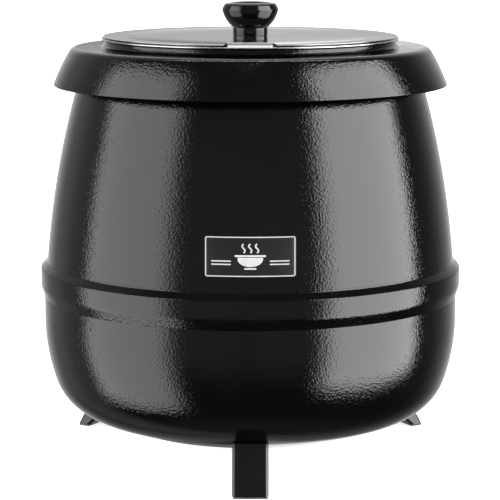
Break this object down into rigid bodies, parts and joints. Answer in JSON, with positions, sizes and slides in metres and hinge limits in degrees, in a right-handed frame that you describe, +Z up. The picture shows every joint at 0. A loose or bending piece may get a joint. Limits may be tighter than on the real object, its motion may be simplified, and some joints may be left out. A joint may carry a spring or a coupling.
{
  "type": "soup kettle",
  "caption": "Electric wet-heat soup kettle: black steel shells, lift-out steel pot, hinged lid with a ladle notch and knob, splayed feet and a rear heat control.",
  "frame": {"origin": "on the ground, at the middle of the kettle's round body", "axes": "+Z up along the body's axis, -Y towards the front foot and the ladle notch, the heat control at +Y"},
  "size_m": [0.34, 0.34, 0.3673],
  "materials": {
    "black_enamel": "gloss enamel with a fine hammered texture",
    "foot_black": "satin moulded phenolic",
    "pad_rubber": "matt",
    "stainless": "fine polished, faint turned grain",
    "hinge_steel": "satin",
    "pan_aluminium": "spun, satin",
    "zinc_steel": "zinc plated",
    "knob_black": "polished phenolic",
    "dial_black": "satin",
    "scale_metal": "brushed, printed ticks",
    "plate_bronze": "satin dark plate with a pale outline",
    "copper": "drawn",
    "brass": "turned",
    "ceramic": "glazed",
    "cutout_black": "moulded",
    "wire_red": "silicone sleeve",
    "lens_amber": "moulded clear amber",
    "silicone_red": "matt",
    "element_sheath": "heat darkened"
  },
  "bodies": {
    "root": {"upper_shell": "black_enamel", "lower_shell": "black_enamel", "collar_ring": "black_enamel", "collar_studs": "zinc_steel", "collar_nuts": "zinc_steel", "collar_gasket": "silicone_red", "water_pan": "pan_aluminium", "heat_spreader": "pan_aluminium", "heating_element": "element_sheath", "element_clamp": "zinc_steel", "clamp_stud": "zinc_steel", "clamp_nut": "zinc_steel", "thermostat_body": "ceramic", "thermostat_nut": "zinc_steel", "capillary_tube": "copper", "sensor_bulb": "copper", "bulb_clip": "zinc_steel", "thermal_cutout": "cutout_black", "terminal_block": "ceramic", "earth_stud": "brass", "internal_wires": "wire_red", "dial_scale_plate": "scale_metal", "pilot_lamp_lens": "lens_amber", "pilot_lamp_bezel": "dial_black", "cord_gland": "dial_black", "gland_nut": "dial_black", "base_plate": "zinc_steel", "tie_rods": "zinc_steel", "tie_rod_nuts": "zinc_steel", "foot_front": "foot_black", "foot_rear_left": "foot_black", "foot_rear_right": "foot_black", "foot_screws": "zinc_steel", "foot_pads": "pad_rubber", "name_plate": "plate_bronze"},
    "pot": {"inset_pot": "stainless"},
    "lid": {"lid_rear": "stainless", "hinge_leaf_rear": "hinge_steel", "hinge_pin": "hinge_steel", "hinge_rivets_rear": "hinge_steel"},
    "flap": {"lid_front": "stainless", "hinge_leaf_front": "hinge_steel", "hinge_rivets_front": "hinge_steel", "knob": "knob_black", "knob_base_ring": "knob_black", "knob_cap": "knob_black", "knob_screw": "zinc_steel"},
    "dial": {"control_knob": "dial_black", "dial_shaft": "zinc_steel"}
  },
  "joints": [
    {"name": "pot_lift", "type": "slide", "parent": "root", "child": "pot", "axis": [0, 0, 1], "range_m": [0, 0.29]},
    {"name": "lid_lift", "type": "slide", "parent": "pot", "child": "lid", "axis": [0, 0, 1], "range_m": [0, 0.12]},
    {"name": "flap_hinge", "type": "hinge", "parent": "lid", "child": "flap", "pos_m": [0, 0, 0.3402], "axis": [-1, 0, 0], "range_deg": [0, 130]},
    {"name": "dial_turn", "type": "hinge", "parent": "root", "child": "dial", "pos_m": [0, 0.15, 0.084], "axis": [0, -1, 0], "range_deg": [0, 270]}
  ]
}
